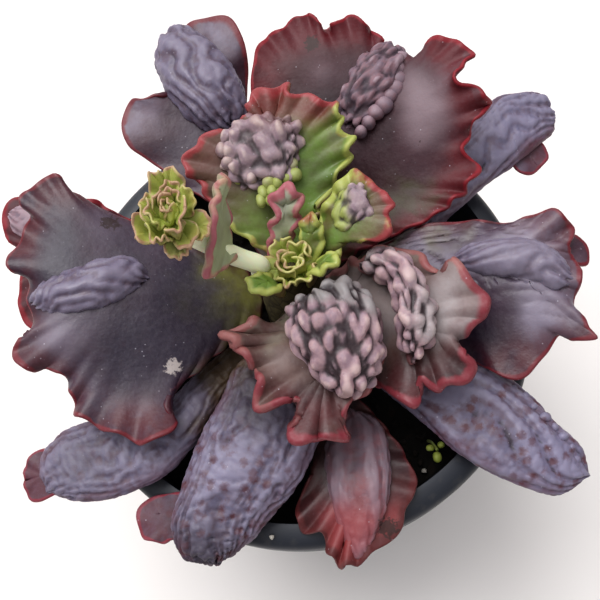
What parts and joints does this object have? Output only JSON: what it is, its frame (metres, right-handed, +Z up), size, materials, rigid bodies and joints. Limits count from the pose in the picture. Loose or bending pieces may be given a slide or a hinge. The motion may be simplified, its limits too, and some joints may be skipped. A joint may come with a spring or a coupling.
{
  "type": "potted echeveria",
  "caption": "Potted succulent: an open rosette of ruffled and warty leaves with a young flower stalk, standing in soil in a round nursery pot.",
  "frame": {"origin": "middle of the flat underside of the pot, on the pot's axis", "axes": "+Z up along the pot's axis; -Y is the side the plant is seen from, with the flower stalk leaning to -X"},
  "size_m": [0.1898, 0.1785, 0.198],
  "materials": {
    "leaf_purple": "matte",
    "leaf_blue_grey": "matte",
    "leaf_red": "satin",
    "leaf_green": "satin",
    "stalk_green": "satin",
    "stem_bark": "matte",
    "potting_mix": "matte",
    "pot_plastic": "satin"
  },
  "bodies": {
    "root": {"leaf_back_left": "leaf_purple", "leaf_back": "leaf_purple", "leaf_left": "leaf_purple", "leaf_right": "leaf_purple", "leaf_low_left": "leaf_purple", "leaf_front": "leaf_red", "leaf_upper_back": "leaf_green", "leaf_low_centre": "leaf_purple", "leaf_low_right": "leaf_purple", "leaf_heart_right": "leaf_green", "leaf_heart_back": "leaf_green", "leaf_heart_front": "leaf_green", "leaf_heart_low": "leaf_green", "leaf_heart_left": "leaf_green", "leaf_front_right": "leaf_blue_grey", "leaf_front_left": "leaf_blue_grey", "leaf_left_front": "leaf_blue_grey", "leaf_right_back": "leaf_blue_grey", "pot": "pot_plastic", "soil": "potting_mix", "stem": "stem_bark", "flower_stalk": "stalk_green"}
  },
  "joints": []
}
